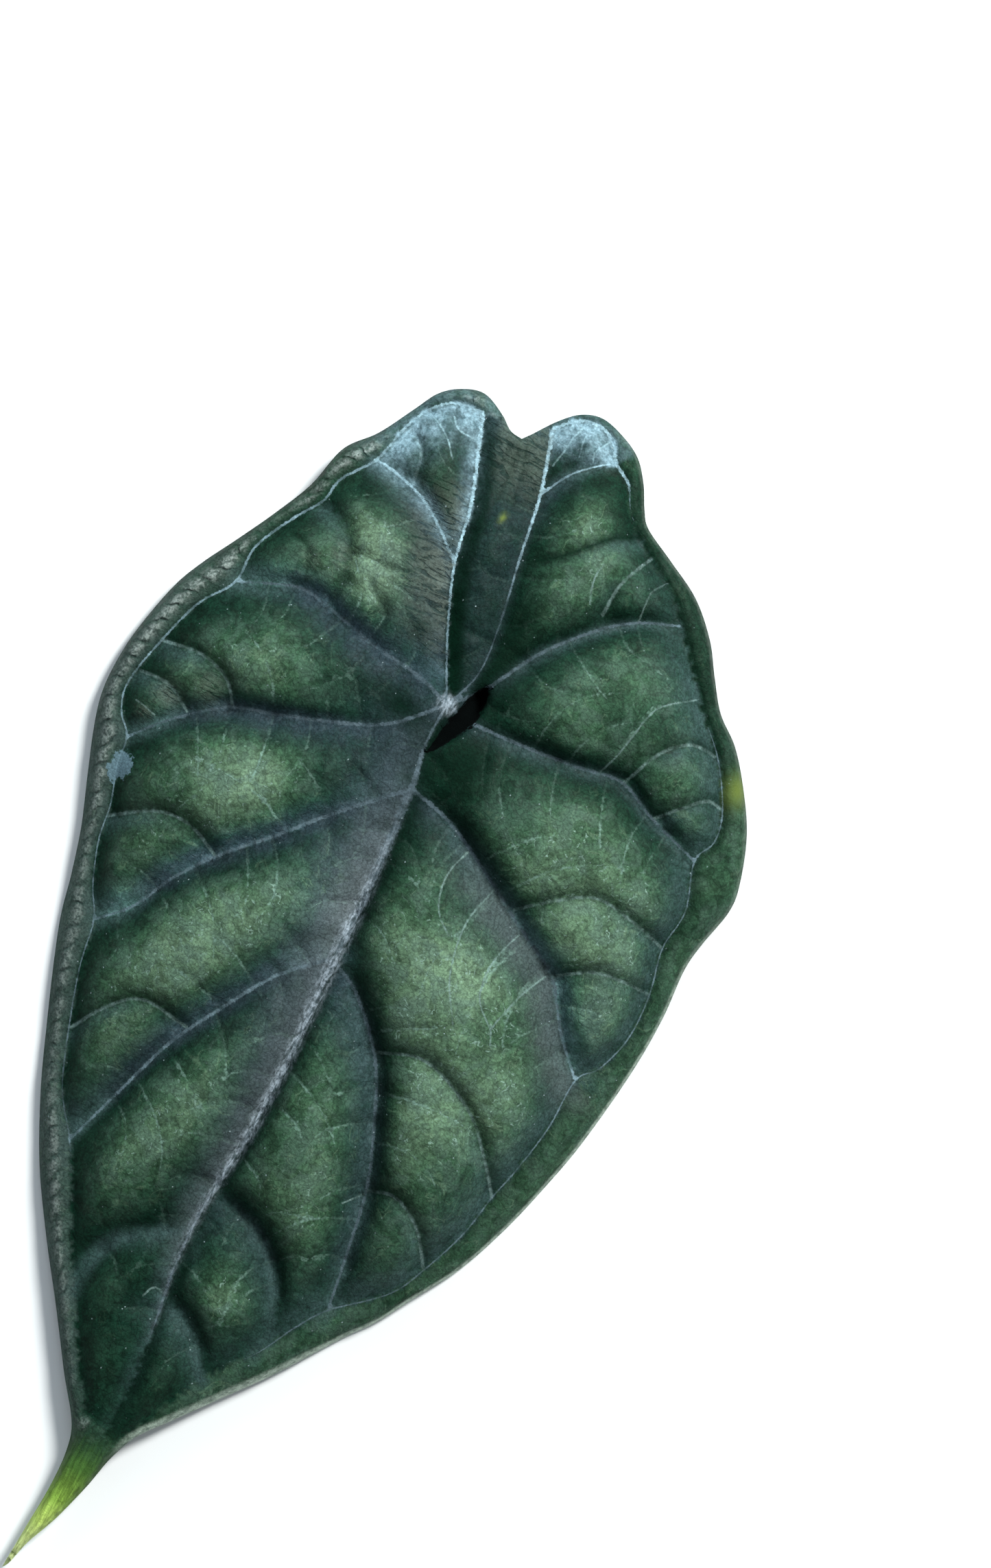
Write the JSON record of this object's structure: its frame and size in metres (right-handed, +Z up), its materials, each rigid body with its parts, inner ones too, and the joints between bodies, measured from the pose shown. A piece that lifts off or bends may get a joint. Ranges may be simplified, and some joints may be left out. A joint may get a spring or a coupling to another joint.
{
  "type": "dragon scale alocasia leaf",
  "caption": "Picked quilted leaf lying face up: an arched, heart-shaped blade with sunken veins, rear lobes and a drawn-out drip tip, on a short cut stalk underneath.",
  "frame": {"origin": "middle of the bounding box in plan, on the surface that the leaf lies on", "axes": "+Z up through the upper face of the blade, +Y along the blade from the drip tip towards the rear lobes, +X across the blade"},
  "size_m": [0.125, 0.2458, 0.0222],
  "materials": {
    "blade": "satin dark green lamina with slate-grey bloom and pale veins",
    "petiole": "satin yellow-green stalk with brownish mottling"
  },
  "bodies": {
    "root": {"blade": "blade", "petiole": "petiole"}
  },
  "joints": []
}
